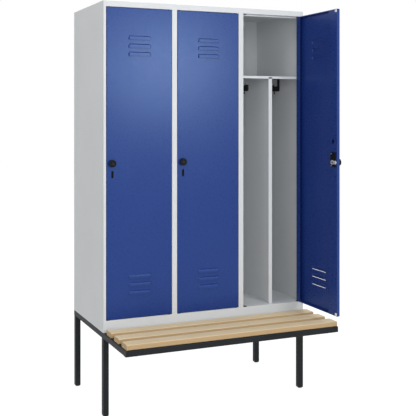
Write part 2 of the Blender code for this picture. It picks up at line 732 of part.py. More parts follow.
def hook():
    """A swivel hook about its stud. Its middle is on the axis, at the height of the shelf's upper side."""
    head = -SHEET - GAP
    foot = head - HOOK_DROP
    floor = foot + HOOK_BLOCK
    stem = (-HOOK_STEM_REACH, -HOOK_STEM_REACH + HOOK_STEM_WIDTH)
    tip = (HOOK_TIP_REACH - HOOK_TIP_WIDTH, HOOK_TIP_REACH)
    top = floor + HOOK_PRONG
    throat, end, toe = HOOK_THROAT_ROUNDING, HOOK_TIP_ROUNDING, HOOK_FOOT_ROUNDING
    outline = [(stem[0], head), (tip[0], head), (tip[0], head - HOOK_HEAD_HEIGHT)]
    outline += [(stem[1], head - HOOK_HEAD_HEIGHT)]
    for centre, radius, start, last in (
        ((stem[1] + throat, floor + throat), throat, 180, 270),
        ((tip[0] - throat, floor + throat), throat, 270, 360),
        ((tip[0] + end, top - end), end, 180, 90),
        ((tip[1] - end, top - end), end, 90, 0),
        ((tip[1] - toe, foot + toe), toe, 0, -90),
        ((stem[0] + toe, foot + toe), toe, 270, 180),
    ):
        outline += arc(centre, (radius, radius), start, last, HOOK_BEND_STEPS)
    bm = add_prism(solid(), outline, -HOOK_THICKNESS / 2, HOOK_THICKNESS / 2, "xzy")
    rim = [edge for edge in bm.edges if abs(edge.verts[0].co.y - edge.verts[1].co.y) < MERGE_DISTANCE]
    bmesh.ops.bevel(bm, geom=rim, offset=HOOK_EDGE, segments=1, profile=0.5, affect="EDGES")

    stud, cap = HOOK_STUD_DIAMETER / 2, HOOK_CAP_DIAMETER / 2
    round_parts = add_turned(solid(), [
        (stud, head - HOOK_HEAD_HEIGHT / 2),
        (stud, GAP),
        (cap, GAP),
        (cap, GAP + HOOK_CAP_HEIGHT / 2),
        (stud, GAP + HOOK_CAP_HEIGHT),
    ], "xyz")
    neck, ball = HOOK_NIB_NECK / 2, HOOK_NIB_DIAMETER / 2
    low = foot - HOOK_NIB_LENGTH
    add_turned(round_parts, [
        (neck, foot + HOOK_BLOCK / 2),
        (neck, low + 2 * ball),
        (ball, low + ball + neck),
        (ball, low + ball - neck),
        (neck, low),
    ], "xyz")
    return shaped(bm, joined=round_parts)


def tube_outlines(low):
    """The outer and inner outline of the square tube whose section has this lower corner."""
    high = (low[0] + TUBE, low[1] + TUBE)
    inner_low = (low[0] + TUBE_WALL, low[1] + TUBE_WALL)
    inner_high = (high[0] - TUBE_WALL, high[1] - TUBE_WALL)
    outer = rounded(low, high, TUBE_CORNER, TUBE_CORNER_STEPS)
    return outer, rounded(inner_low, inner_high, TUBE_CORNER - TUBE_WALL, TUBE_CORNER_STEPS)


def tube(start, end, low, axes):
    """A square tube, open at both ends. Low is the lower corner of its section."""
    return shaped(add_ring(solid(), *tube_outlines(low), start, end, axes))


def side_frame(left):
    """One end of the base frame: two legs welded under a rail that runs on to carry the bench."""
    front, back = -BENCH_REACH + TUBE + GAP, BODY_DEPTH
    low = FRAME_TOP - TUBE
    legs, bores = solid(), solid()
    rail, bore = tube_outlines((left, low))
    add_prism(bores, bore, front - CUT_OVERRUN, back - TUBE_WALL, "xzy")
    for y in (0, BODY_DEPTH - TUBE):
        leg, inside = tube_outlines((left, y))
        add_prism(legs, leg, GLIDE_HEIGHT, low + TUBE / 2, "xyz")
        add_prism(bores, inside, GLIDE_HEIGHT - CUT_OVERRUN, low, "xyz")
    return shaped(add_prism(solid(), rail, front, back, "xzy"), joined=legs, removed=bores)


def bench_rail():
    """The closed tube under the front slat, with a vent into each side rail."""
    low = (-BENCH_REACH, FRAME_TOP - TUBE)
    outer, inner = tube_outlines(low)
    bar = add_prism(solid(), outer, -HALF_WIDTH, HALF_WIDTH, "yzx")
    hollow = add_prism(solid(), inner, -HALF_WIDTH + TUBE_WALL, HALF_WIDTH - TUBE_WALL, "yzx")
    vents = solid()
    for side in (-1, 1):
        centre = (side * (HALF_WIDTH - TUBE / 2), FRAME_TOP - TUBE / 2)
        vent = circle(TUBE_VENT_DIAMETER / 2, centre=centre)
        add_prism(vents, vent, low[0] + TUBE / 2, low[0] + TUBE + CUT_OVERRUN, "xzy")
    return shaped(bar, removed=united(hollow, vents))


def glide():
    """A glide with a round lower edge and a stem that fills the leg's end. Its middle is under the leg."""
    half = TUBE / 2
    edge = (half - GLIDE_ROUNDING, GLIDE_ROUNDING)
    levels = arc(edge, (GLIDE_ROUNDING, GLIDE_ROUNDING), -90, 0, GLIDE_ROUNDING_STEPS)
    levels.append((half, GLIDE_HEIGHT - GAP))
    loops = []
    bm = solid()
    for reach, level in levels:
        outline = rounded((-reach, -reach), (reach, reach), TUBE_CORNER, TUBE_CORNER_STEPS)
        loops.append(add_loop(bm, outline, level, "xyz"))
    add_skin(bm, loops)
    inner = half - TUBE_WALL - GAP
    stem = rounded((-inner, -inner), (inner, inner), TUBE_CORNER - TUBE_WALL, TUBE_CORNER_STEPS)
    top = GLIDE_HEIGHT + GLIDE_STEM_LENGTH
    return shaped(bm, joined=add_prism(solid(), stem, GLIDE_HEIGHT / 2, top, "xyz"))


def slat(front):
    """One bench slat, with its edges rounded over."""
    half = HALF_WIDTH - SLAT_END_INSET
    low = (-half, front, FRAME_TOP + GAP)
    high = (half, front + SLAT_WIDTH, FRAME_TOP + GAP + SLAT_THICKNESS)
    bm = add_box(solid(), low, high)
    bmesh.ops.bevel(
        bm, geom=bm.edges, offset=SLAT_ROUNDING, segments=SLAT_ROUNDING_STEPS, profile=0.5, affect="EDGES"
    )
    return shaped(bm)


def build_base(root):
    """Tube frame, glides and bench."""
    low = FRAME_TOP - TUBE
    for side, left in (("left", -HALF_WIDTH), ("right", HALF_WIDTH - TUBE)):
        node(f"side_frame_{side}", side_frame(left), FRAME_PAINT, root)
        for end, y in (("front", 0), ("rear", BODY_DEPTH - TUBE)):
            place = (left + TUBE / 2, y + TUBE / 2, 0)
            node(f"glide_{end}_{side}", glide(), GLIDE_PLASTIC, root, place)
    reach = HALF_WIDTH - TUBE - GAP
    node("rail_middle", tube(-reach, reach, (0, low), "yzx"), FRAME_PAINT, root)
    node("rail_rear", tube(-reach, reach, (BODY_DEPTH - TUBE, low), "yzx"), FRAME_PAINT, root)
    node("rail_bench", bench_rail(), FRAME_PAINT, root)
    pitch = (BENCH_REACH - SLAT_TO_DOORS - SLAT_WIDTH) / (SLATS - 1)
    for k in range(SLATS):
        node(f"slat_{k + 1}", slat(-BENCH_REACH + k * pitch), SLAT_WOOD, root)


def build_body(root):
    """The sheet steel body and what is fixed inside it."""
    node("front_frame", front_frame(), BODY_PAINT, root)
    node("floor_panel", floor_panel(), BODY_PAINT, root)
    side_top = ROOF_UNDERSIDE - GAP
    for side, x in (("left", WALLS[0]), ("right", WALLS[-1])):
        panel = wall(x, PANEL_FRONT, BODY_BOTTOM, side_top)
        node(f"side_panel_{side}", panel, BODY_PAINT, root)
    for n, x in enumerate(WALLS[1:-1], start=1):
        node(f"divider_{n}", wall(x, BEND_RADIUS + GAP, SILL + GAP, side_top), BODY_PAINT, root)
    top_corner = (HALF_WIDTH, BODY_DEPTH, BODY_TOP)
    back = add_box(solid(), (-HALF_WIDTH, BODY_DEPTH - SHEET, BODY_BOTTOM), top_corner)
    node("back_panel", shaped(back), BODY_PAINT, root)
    roof = add_box(solid(), (-HALF_WIDTH, PANEL_FRONT, ROOF_UNDERSIDE), (HALF_WIDTH, PANEL_BACK, BODY_TOP))
    node("roof_panel", shaped(roof), BODY_PAINT, root)


def build_inside(root):
    """Shelf, partition and hooks of each compartment."""
    hook_mesh = hook()
    for n, middle in enumerate(CENTRES, start=1):
        left = WALLS[n - 1] + SHEET / 2 + GAP
        right = WALLS[n] - SHEET / 2 - GAP
        halves = {"left": (left + middle) / 2, "right": (middle + right) / 2}
        node(f"hat_shelf_{n}", hat_shelf(left, right, middle, halves.values()), BODY_PAINT, root)
        node(f"partition_{n}", partition(middle), BODY_PAINT, root)
        for k, (side, x) in enumerate(halves.items()):
            place = (x, HOOK_FROM_FRONT, SHELF_TOP)
            node(f"hook_{n}_{side}", hook_mesh, HOOK_PLASTIC, root, place, HOOK_TURN + k * math.pi)


def build_doors(root):
    """Doors with their fittings, each carried by an empty on its hinge axis."""
    leaf, channel, case, handle, catch = door(), stiffener(), lock_case(), knob(), cam()
    upper = buffer_block(DOOR_TOP - BUFFER_FROM_END - BUFFER_HEIGHT)
    lower = buffer_block(DOOR_BOTTOM + BUFFER_FROM_END)
    pins = {"top": hinge_pin(LINTEL, -1), "bottom": hinge_pin(SILL, 1)}
    for n, hinge in enumerate(HINGES, start=1):
        turn = OPEN_ANGLE if n == OPEN_DOOR else 0.0
        axis = empty(f"door_{n}_axis", root, (hinge, HINGE_FROM_FRONT, 0), turn)
        node(f"door_{n}", leaf, DOOR_PAINT, axis)
        node(f"stiffener_{n}", channel, STIFFENER_PAINT, axis)
        node(f"lock_case_{n}", case, LOCK_PLASTIC, axis)
        node(f"buffer_{n}_top", upper, BUFFER_PLASTIC, axis)
        node(f"buffer_{n}_bottom", lower, BUFFER_PLASTIC, axis)
        node(f"knob_{n}", handle, KNOB_PLASTIC, axis, (LOCK_X, 0, LOCK_Z))
        node(f"cam_{n}", catch, CAM_STEEL, axis, (LOCK_X, 0, LOCK_Z))
        for end, mesh in pins.items():
            node(f"hinge_pin_{n}_{end}", mesh, PIN_STEEL, root, (hinge, HINGE_FROM_FRONT, 0))


def centre_footprint(root):
    """Moves the root so that the world's origin lies under the middle of everything."""
    bpy.context.view_layer.update()
    pieces = [piece for piece in bpy.context.scene.objects if piece.type == "MESH"]
    points = [piece.matrix_world @ vert.co for piece in pieces for vert in piece.data.vertices]
    for axis in range(2):
        places = [point[axis] for point in points]
        root.location[axis] = -(min(places) + max(places)) / 2
    print("The doors' front plane and middle lie at", [round(value, 6) for value in root.location])


clear_scene()
BODY_PAINT = paint("body_paint", (0.533, 0.545, 0.552), 0.45)
DOOR_PAINT = paint("door_paint", (0.056, 0.105, 0.330), 0.42)
STIFFENER_PAINT = paint("stiffener_paint", (0.056, 0.105, 0.330), 0.42)
FRAME_PAINT = paint("frame_paint", (0.028, 0.030, 0.034), 0.50)
SLAT_WOOD = paint("slat_wood", (0.510, 0.370, 0.230), 0.45)
HOOK_PLASTIC = paint("hook_plastic", (0.012, 0.012, 0.013), 0.40)
GLIDE_PLASTIC = paint("glide_plastic", (0.014, 0.014, 0.015), 0.55)
KNOB_PLASTIC = paint("knob_plastic", (0.010, 0.010, 0.011), 0.35)
LOCK_PLASTIC = paint("lock_case_plastic", (0.012, 0.012, 0.013), 0.50)
BUFFER_PLASTIC = paint("buffer_plastic", (0.800, 0.800, 0.780), 0.50)
CAM_STEEL = paint("cam_steel", (0.600, 0.600, 0.610), 0.30, 1.0)
PIN_STEEL = paint("pin_steel", (0.015, 0.015, 0.016), 0.45)

locker = empty("locker", None)
build_base(locker)
build_body(locker)
build_inside(locker)
build_doors(locker)
centre_footprint(locker)
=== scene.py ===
# %% [markdown]
# # A clothes locker with a bench
#
# A changing-room locker: a folded sheet-steel body with three doors, on a black frame of square tube
# that reaches forward under a bench of three pale wooden slats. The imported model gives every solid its
# place. This script gives the solids their finishes, adds what is too small for them, and sets up a
# camera and soft light as a product photographer would.

import json
import math
from collections import Counter

import bmesh
import bpy
from mathutils import Matrix, Vector


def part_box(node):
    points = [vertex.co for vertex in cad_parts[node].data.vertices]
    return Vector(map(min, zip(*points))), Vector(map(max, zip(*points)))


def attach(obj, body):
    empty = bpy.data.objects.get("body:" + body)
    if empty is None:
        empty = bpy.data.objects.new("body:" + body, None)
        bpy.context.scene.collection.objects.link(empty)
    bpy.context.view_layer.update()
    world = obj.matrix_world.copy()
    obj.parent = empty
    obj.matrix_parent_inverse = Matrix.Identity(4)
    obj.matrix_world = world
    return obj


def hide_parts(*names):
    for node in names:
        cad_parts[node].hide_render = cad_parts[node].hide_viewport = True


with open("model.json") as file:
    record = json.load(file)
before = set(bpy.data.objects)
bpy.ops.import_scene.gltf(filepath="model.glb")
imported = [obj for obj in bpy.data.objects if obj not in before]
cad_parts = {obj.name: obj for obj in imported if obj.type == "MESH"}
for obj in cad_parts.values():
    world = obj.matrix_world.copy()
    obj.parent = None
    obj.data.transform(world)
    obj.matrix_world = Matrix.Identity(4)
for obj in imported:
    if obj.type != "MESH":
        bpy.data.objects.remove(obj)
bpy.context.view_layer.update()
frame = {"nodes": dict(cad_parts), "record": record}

# %% [markdown]
# ## Small helpers
#
# Colours are chosen as sRGB hex values, the way a paint card is read off a screen, and the shaders want
# linear numbers. One function turns the first into the second. Another adds a node to a tree: it sets
# the node's options, then fills each input, with a value or with a link.

# %% Colour and node helpers
MM = 0.001


def linear(hex_colour):
    """The linear colour, with alpha, of an sRGB hex value such as "8899AA"."""
    shares = [int(hex_colour[at:at + 2], 16) / 255 for at in (0, 2, 4)]
    return tuple(c / 12.92 if c <= 0.04045 else ((c + 0.055) / 1.055) ** 2.4 for c in shares) + (1.0,)


def add_node(tree, kind, inputs=None, **options):
    """Adds one node. Each input is given a value, or the output socket that it is linked to."""
    made = tree.nodes.new(kind)
    for name, value in options.items():
        setattr(made, name, value)
    for name, value in (inputs or {}).items():
        if isinstance(value, bpy.types.NodeSocket):
            tree.links.new(value, made.inputs[name])
        else:
            made.inputs[name].default_value = value
    return made


print("the body's grey in linear numbers:", [round(c, 3) for c in linear("CCCFD1")])

# %% [markdown]
# ## The camera
#
# The photograph is taken from the left, at about the height of a person's eyes, with a long lens that is
# shifted rather than tilted, so that the uprights stay upright. The camera therefore looks level, and the
# frame is moved over the image with the lens shift.

# %% Camera
CAMERA_PLACE = (-1.8923, -3.6969, 1.5383)
CAMERA_TURN = -20.539
LENS_MM, SENSOR_MM = 65.25, 36.0
SHIFT_ACROSS, SHIFT_UP = 0.2222, -0.2208
FAR_CLIP = 100.0

camera_data = bpy.data.cameras.new("camera")
camera_data.lens = LENS_MM
camera_data.sensor_width = SENSOR_MM
camera_data.shift_x, camera_data.shift_y = SHIFT_ACROSS, SHIFT_UP
camera_data.clip_end = FAR_CLIP
camera = bpy.data.objects.new("camera", camera_data)
camera.location = CAMERA_PLACE
camera.rotation_euler = (math.radians(90), 0, math.radians(CAMERA_TURN))
bpy.context.scene.collection.objects.link(camera)
bpy.context.scene.camera = camera
print("camera at, m:", tuple(round(x, 3) for x in camera.location))

# %% [markdown]
# ## Floor, sky and lamps
#
# A catalogue picture has a white ground. The floor and the sky look white to the camera and in
# reflections, but the light that they give the locker is set apart, at a plain level, so that each colour
# renders about as it is written. The floor is partly an ordinary matt surface, so it keeps a faint shadow.
# Five soft boxes stand round the locker. A small strong one in front, to the right, is mirrored by the
# doors: the broad sheen on their upper half is its image, blurred by the satin paint. A large one stands
# behind the camera, a little higher. It sees what the camera sees, so it reaches into the open compartment
# without leaving a shadow in the picture. The other three hang over the bench, by the left side and
# behind the back, and each lights the faces that the first two leave dull.

# %% Floor and sky
FLOOR_SIZE = 40.0
SKY_LEVEL = 0.46
WHITE_SHARE = 0.86
WHITE, SHADOW_GREY = (1, 1, 1, 1), (0.3, 0.3, 0.3, 1)


def seen_or_mirrored(tree):
    """1 for what the camera sees directly, in a reflection or through glass, and 0 for other light."""
    path = add_node(tree, "ShaderNodeLightPath").outputs
    either = add_node(tree, "ShaderNodeMath", {0: path["Is Camera Ray"], 1: path["Is Glossy Ray"]},
                      operation="MAXIMUM")
    return add_node(tree, "ShaderNodeMath", {0: either.outputs[0], 1: path["Is Transmission Ray"]},
                    operation="MAXIMUM").outputs[0]


def make_floor():
    """A wide pale floor that reads white, with a faint shadow."""
    half = FLOOR_SIZE / 2
    mesh = bpy.data.meshes.new("floor")
    corners = [(-half, -half, 0), (half, -half, 0), (half, half, 0), (-half, half, 0)]
    mesh.from_pydata(corners, [], [(0, 1, 2, 3)])
    floor = bpy.data.objects.new("floor", mesh)
    bpy.context.scene.collection.objects.link(floor)
    material = bpy.data.materials.new("pale_studio_floor")
    material.use_nodes = True
    tree = material.node_tree
    tree.nodes.clear()
    matt = add_node(tree, "ShaderNodeBsdfDiffuse", {"Color": linear("E6E6E6")})
    shadowed = add_node(tree, "ShaderNodeBsdfDiffuse", {"Color": SHADOW_GREY})
    white = add_node(tree, "ShaderNodeEmission", {"Color": WHITE, "Strength": WHITE_SHARE})
    shown = add_node(tree, "ShaderNodeAddShader", {0: shadowed.outputs[0], 1: white.outputs[0]})
    mix = add_node(tree, "ShaderNodeMixShader",
                   {0: seen_or_mirrored(tree), 1: matt.outputs[0], 2: shown.outputs[0]})
    add_node(tree, "ShaderNodeOutputMaterial", {"Surface": mix.outputs[0]})
    mesh.materials.append(material)


def make_sky():
    """White where it is seen, and a softer white as a light."""
    world = bpy.data.worlds.new("studio_sky")
    world.use_nodes = True
    tree = world.node_tree
    tree.nodes.clear()
    lit, seen = (add_node(tree, "ShaderNodeBackground", {"Color": WHITE, "Strength": strength})
                 for strength in (SKY_LEVEL, 1.0))
    mix = add_node(tree, "ShaderNodeMixShader",
                   {0: seen_or_mirrored(tree), 1: lit.outputs[0], 2: seen.outputs[0]})
    add_node(tree, "ShaderNodeOutputWorld", {"Surface": mix.outputs[0]})
    bpy.context.scene.world = world


make_floor()
make_sky()
bpy.context.scene.view_settings.view_transform = "Standard"
print("floor and sky made; the sky lights at", SKY_LEVEL)

# %% Soft boxes
# Each row gives a lamp's name, its place, the point it aims at, its width and height, and its radiance.
LAMPS = (
    ("sheen_box", (2.0, -5.2, 2.2), (0, 0, 1.6), (1.2, 0.8), 19.5),
    ("fill_box", (-2.2, -5.2, 2.2), (0.2, 0, 1.3), (1.6, 3.0), 6.4),
    ("top_box", (0.4, -2.6, 5.2), (0.2, -0.1, 0.6), (2.4, 1.2), 5.6),
    ("side_box", (-3.2, -1.2, 3.8), (-0.4, 0, 1.2), (1.5, 1.5), 3.6),
    ("back_box", (2.6, 4.6, 2.6), (0.3, 0.3, 1.2), (2.4, 2.4), 4.0),
)


def soft_box(name, place, aim, size, radiance):
    """A rectangular area lamp of a given radiance, so that its size doesn't change how bright it looks."""
    data = bpy.data.lights.new(name, "AREA")
    data.shape = "RECTANGLE"
    data.size, data.size_y = size
    data.energy = radiance * math.pi * data.size * data.size_y
    lamp = bpy.data.objects.new(name, data)
    lamp.location = place
    lamp.rotation_euler = (Vector(aim) - Vector(place)).to_track_quat("-Z", "Y").to_euler()
    bpy.context.scene.collection.objects.link(lamp)
    return lamp


print("lamps:", [soft_box(*row).name for row in LAMPS])

# %% [markdown]
# ## How a finish is made
#
# Paint, plastic and plating differ in colour, gloss and skin, but each varies in the same way. A slow
# noise mixes two close colours. A finer one mixes two roughnesses and raises a slight bump. So one
# function makes them all, and each finish is a line of numbers. The patterns read object coordinates, so
# that they stay on the piece when it turns with a door.

# %% Finish from two noises
# Noise gathers round 0.5. This middle part of its range is spread over the whole change.
NOISE_MIDDLE = {"From Min": 0.3, "From Max": 0.7}
SKIN_STRENGTH = 0.4


def principled(name):
    """A new material, its tree, and its one Principled shader."""
    material = bpy.data.materials.new(name)
    material.use_nodes = True
    return material, material.node_tree, material.node_tree.nodes["Principled BSDF"]


def finish(name, colours, roughness, tone, grain, bump_mm=0.0, specular=0.5, metallic=0.0, tint="FFFFFF"):
    """A finish. Tone and grain each give a noise's size in mm and its detail."""
    material, tree, shader = principled(name)
    place = add_node(tree, "ShaderNodeTexCoord").outputs["Object"]
    slow, fine = (
        add_node(tree, "ShaderNodeTexNoise",
                 {"Vector": place, "Scale": 1 / (size * MM), "Detail": detail}).outputs[0]
        for size, detail in (tone, grain))
    share = add_node(tree, "ShaderNodeMapRange", NOISE_MIDDLE | {"Value": slow})
    colour = add_node(tree, "ShaderNodeMix",
                      {0: share.outputs[0], 6: linear(colours[0]), 7: linear(colours[1])}, data_type="RGBA")
    gloss = add_node(tree, "ShaderNodeMapRange",
                     NOISE_MIDDLE | {"Value": fine, "To Min": roughness[0], "To Max": roughness[1]})
    tree.links.new(colour.outputs[2], shader.inputs["Base Color"])
    tree.links.new(gloss.outputs[0], shader.inputs["Roughness"])
    if bump_mm:
        skin = add_node(tree, "ShaderNodeBump",
                        {"Height": fine, "Distance": bump_mm * MM, "Strength": SKIN_STRENGTH})
        tree.links.new(skin.outputs[0], shader.inputs["Normal"])
    shader.inputs["Specular IOR Level"].default_value = specular
    shader.inputs["Specular Tint"].default_value = linear(tint)
    shader.inputs["Metallic"].default_value = metallic
    return material


print("the part of each noise that is used:", NOISE_MIDDLE)

# %% [markdown]
# ## Powder-coated steel
#
# Body, doors and frame are sheet and tube of cold-rolled steel with a baked powder coat. The powder melts
# into a film with a slight orange-peel skin, which breaks up reflections. Real orange peel repeats every
# 1 to 2 mm. One pixel here covers about 5 mm, so it is drawn at 7 mm, or it would vanish. A much slower
# change of a percent or two in the colour stands for the film's uneven thickness.

# %% Powder coats
CLOUD, PEEL = (260.0, 2.0), (7.0, 2.0)
# Light grey: the eye sees a calm, almost white metal with soft bright lines along its bends.
GREY_COAT = finish("light_grey_powder_coat", ("CCCFD1", "D0D3D5"), (0.33, 0.39), CLOUD, PEEL,
                   bump_mm=0.10, specular=0.14)
# Blue: deep and satin, with a broad sheen where it mirrors the soft box.
BLUE_COAT = finish("blue_powder_coat", ("1A3175", "1C3478"), (0.26, 0.32), CLOUD, PEEL,
                   bump_mm=0.10, specular=0.46, tint="B8DAFF")
# Anthracite: dark, slightly rough, so that its edges show only as faint lines.
DARK_COAT = finish("anthracite_powder_coat", ("1B1E21", "202326"), (0.47, 0.53), CLOUD, PEEL,
                   bump_mm=0.14, specular=0.14)
print("powder coats:", [m.name for m in (GREY_COAT, BLUE_COAT, DARK_COAT)])

# %% [markdown]
# ## Plastics, rubber and bright steel
#
# Hooks, glides, knobs and lock cases are moulded plastic: one colour through, with a fine spark-eroded
# texture from the mould. Its real grain is under 1 mm, so it is drawn at 5 mm to show at all. Bushes and
# clips are soft black rubber. The cams, pins, screws and bolts are steel with a thin bright zinc plating,
# which is a metal: its colour sits in its reflections, and it has faint clouds instead of a skin.

# %% Plastics and metals
MOULD_GRAIN, PLATING_CLOUD = (5.0, 3.0), (9.0, 3.0)
MOULDED = {"tone": MOULD_GRAIN, "grain": MOULD_GRAIN, "bump_mm": 0.12}
PLATED = {"tone": PLATING_CLOUD, "grain": PLATING_CLOUD, "metallic": 1.0}
# Nylon and ABS: near black, with a dull shine that shows the form at the edges only.
BLACK_NYLON = finish("black_moulded_nylon", ("0B0B0C", "101112"), (0.37, 0.47), specular=0.15, **MOULDED)
BLACK_ABS = finish("black_moulded_abs", ("0F100F", "151514"), (0.37, 0.47), specular=0.10, **MOULDED)
# Soft rubber: dead black, with no shine even where it is seen at a low angle.
BLACK_RUBBER = finish("black_soft_rubber", ("060607", "0C0C0D"), (0.83, 0.93), specular=0.04, **MOULDED)
# Polyethylene glides: black and waxy.
BLACK_PE = finish("black_moulded_polyethylene", ("15171A", "1C1E21"), (0.45, 0.55), specular=0.2, **MOULDED)
# Buffers: soft milky white, which reads as a bright dot in the door's corner.
WHITE_PE = finish("milky_white_polyethylene", ("DCDCD4", "E6E6DF"), (0.33, 0.43), **MOULDED)
# Zinc: cool and bright, with soft reflections.
ZINC = finish("zinc_plated_steel", ("E4E5E6", "F4F4F3"), (0.46, 0.60), **PLATED)
# The lock's core: steel browned dark, so that only the ring round the keyhole shines a little.
LOCK_STEEL = finish("dark_browned_steel", ("28282A", "363638"), (0.32, 0.46), **PLATED)
print("plastics:", [m.name for m in (BLACK_NYLON, BLACK_ABS, BLACK_RUBBER, BLACK_PE, WHITE_PE)])
print("metals:", [m.name for m in (ZINC, LOCK_STEEL)])

# %% [markdown]
# ## Planed and lacquered beech
#
# The slats are pale, even beech, planed, with rounded edges and a satin clear lacquer. Growth rings
# run along the board, so the pattern is noise drawn out some thirty times along X. Real rings lie 2 to
# 3 mm apart and are drawn at 9 mm, to show. Each board takes its own stretch of the pattern from a number
# that is stored on it, or all three would look alike. The boards' upright faces are painted a deeper,
# darker
# gold than their tops: painted shade, standing in for the light from above that reaches them less.

# %% Wood patterns
RING_MM, RING_STRETCH, RING_DETAIL = 9.0, 30.0, 4.0
PATCH_MM, PATCH_STRETCH, PATCH_DETAIL = 35.0, 4.0, 1.0
# How far apart in the pattern, in metres, two boards take their stretch.
BOARD_STEP = 3.7


def wood_patterns(tree):
    """Two noises drawn out along X, first the growth rings and then the slow patches."""
    place = add_node(tree, "ShaderNodeTexCoord").outputs["Object"]
    board = add_node(tree, "ShaderNodeAttribute", attribute_name="board").outputs["Fac"]
    shift = add_node(tree, "ShaderNodeVectorMath", {0: board, 1: (BOARD_STEP, BOARD_STEP, BOARD_STEP)},
                     operation="MULTIPLY")
    moved = add_node(tree, "ShaderNodeVectorMath", {0: place, 1: shift.outputs[0]}, operation="ADD")
    noises = []
    for size, stretch, detail in (
            (RING_MM, RING_STRETCH, RING_DETAIL), (PATCH_MM, PATCH_STRETCH, PATCH_DETAIL)):
        drawn = add_node(tree, "ShaderNodeMapping",
                         {"Vector": moved.outputs[0], "Scale": (1 / stretch, 1, 1)})
        noise = add_node(tree, "ShaderNodeTexNoise",
                         {"Vector": drawn.outputs[0], "Scale": 1 / (size * MM), "Detail": detail})
        noises.append(noise.outputs[0])
    return noises


print("rings, mm:", RING_MM, "wide and", RING_MM * RING_STRETCH, "long")

# %% Wood
PATCH_SHARE = 0.25
# How much of a normal points up: at most the first on a board's edges, which take the full painted shade,
# at least the second on its top, which keeps the unshaded colour.
SHADED_SIDE_UP, LIT_TOP_UP = 0.35, 0.9


def lacquered_wood(name):
    """Pale boards: fine rings, slow lighter patches, upright faces in a darker painted shade, and a clear
    satin film.
    """
    material, tree, shader = principled(name)
    rings, patches = wood_patterns(tree)
    share = add_node(tree, "ShaderNodeMapRange", NOISE_MIDDLE | {"Value": rings})
    grain = add_node(tree, "ShaderNodeMix",
                     {0: share.outputs[0], 6: linear("D9C49E"), 7: linear("E6D2AE")}, data_type="RGBA")
    share = add_node(tree, "ShaderNodeMapRange", NOISE_MIDDLE | {"Value": patches, "To Max": PATCH_SHARE})
    face = add_node(tree, "ShaderNodeMix",
                    {0: share.outputs[0], 6: grain.outputs[2], 7: linear("EEDDBC")}, data_type="RGBA")
    # Painted shade: the less a face points up, the more it takes the darker gold B59A74 in place of the
    # top's colour.
    normal = add_node(tree, "ShaderNodeNewGeometry").outputs["Normal"]
    up = add_node(tree, "ShaderNodeSeparateXYZ", {0: normal}).outputs["Z"]
    flat = add_node(tree, "ShaderNodeMapRange", {"Value": up, "From Min": SHADED_SIDE_UP, "From Max": LIT_TOP_UP})
    colour = add_node(tree, "ShaderNodeMix",
                      {0: flat.outputs[0], 6: linear("B59A74"), 7: face.outputs[2]}, data_type="RGBA")
    gloss = add_node(tree, "ShaderNodeMapRange",
                     NOISE_MIDDLE | {"Value": rings, "To Min": 0.52, "To Max": 0.62})
    relief = add_node(tree, "ShaderNodeBump", {"Height": rings, "Distance": 0.2 * MM, "Strength": 0.35})
    tree.links.new(colour.outputs[2], shader.inputs["Base Color"])
    tree.links.new(gloss.outputs[0], shader.inputs["Roughness"])
    tree.links.new(relief.outputs[0], shader.inputs["Normal"])
    shader.inputs["Specular IOR Level"].default_value = 0.16
    return material


BEECH = lacquered_wood("lacquered_beech")
print("wood:", BEECH.name)

# %% [markdown]
# ## Dressing the solids
#
# Flat panels keep their solid as it is and only take a finish. Anything with a bend or a rounding is
# copied, its loose triangles are joined, and its normals are smoothed across the bends but held on the
# flats. That is what lets a fold catch the light as one soft line.

# %% Smooth copies
FINISHES = {
    "body_paint": GREY_COAT, "door_paint": BLUE_COAT, "stiffener_paint": BLUE_COAT,
    "frame_paint": DARK_COAT, "slat_wood": BEECH, "hook_plastic": BLACK_NYLON, "glide_plastic": BLACK_PE,
    "knob_plastic": BLACK_ABS, "lock_case_plastic": BLACK_ABS, "buffer_plastic": WHITE_PE,
    "cam_steel": ZINC, "pin_steel": ZINC,
}
FOLD_ANGLE = math.radians(38)
JOIN_DISTANCE = 0.01 * MM
FLAT_NODES = ("side_panel_left", "side_panel_right", "divider_1", "divider_2", "back_panel", "roof_panel")
SLATS = tuple(node for node in frame["nodes"] if node.startswith("slat_"))
SLOT_OF = {part["node"]: part["material_slot"] for part in frame["record"]["subparts"]}
BODY_OF = {node: body for body, nodes in frame["record"]["behaviour"]["bodies"].items() for node in nodes}


def link_piece(name, mesh, body):
    """A finished piece: an object at the origin that rides on a body."""
    piece = bpy.data.objects.new(name, mesh)
    bpy.context.scene.collection.objects.link(piece)
    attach(piece, body)
    return piece


def smooth_folds(mesh):
    """The mesh shaded smooth over its bends, with the flats' own normals kept.

    A corner's normal is the mean of the faces round it that turn away by less than the fold angle. Each of
    them counts by the area of all that faces its way, so a wide flat outweighs the narrow steps of a bend.
    """
    def facing(face):
        return tuple(round(c, 3) for c in face.normal)

    area, around = Counter(), [[] for _ in mesh.vertices]
    for face in mesh.polygons:
        face.use_smooth = True
        area[facing(face)] += face.area
        for corner in face.vertices:
            around[corner].append(face)
    normals, limit = [], math.cos(FOLD_ANGLE)
    for face in mesh.polygons:
        for corner in face.vertices:
            near = [other for other in around[corner] if other.normal.dot(face.normal) > limit]
            mean = sum((other.normal * area[facing(other)] for other in near), Vector())
            normals.append(mean.normalized())
    mesh.normals_split_custom_set(normals)
    return mesh


def smooth_copy(node):
    """A joined copy of a solid, smooth over its bends, that stands for it."""
    mesh = frame["nodes"][node].data.copy()
    bm = bmesh.new()
    bm.from_mesh(mesh)
    bmesh.ops.remove_doubles(bm, verts=bm.verts, dist=JOIN_DISTANCE)
    bm.to_mesh(mesh)
    bm.free()
    mesh.materials.clear()
    mesh.materials.append(FINISHES[SLOT_OF[node]])
    piece = link_piece("smooth_" + node, smooth_folds(mesh), BODY_OF[node])
    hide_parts(node)
    return piece


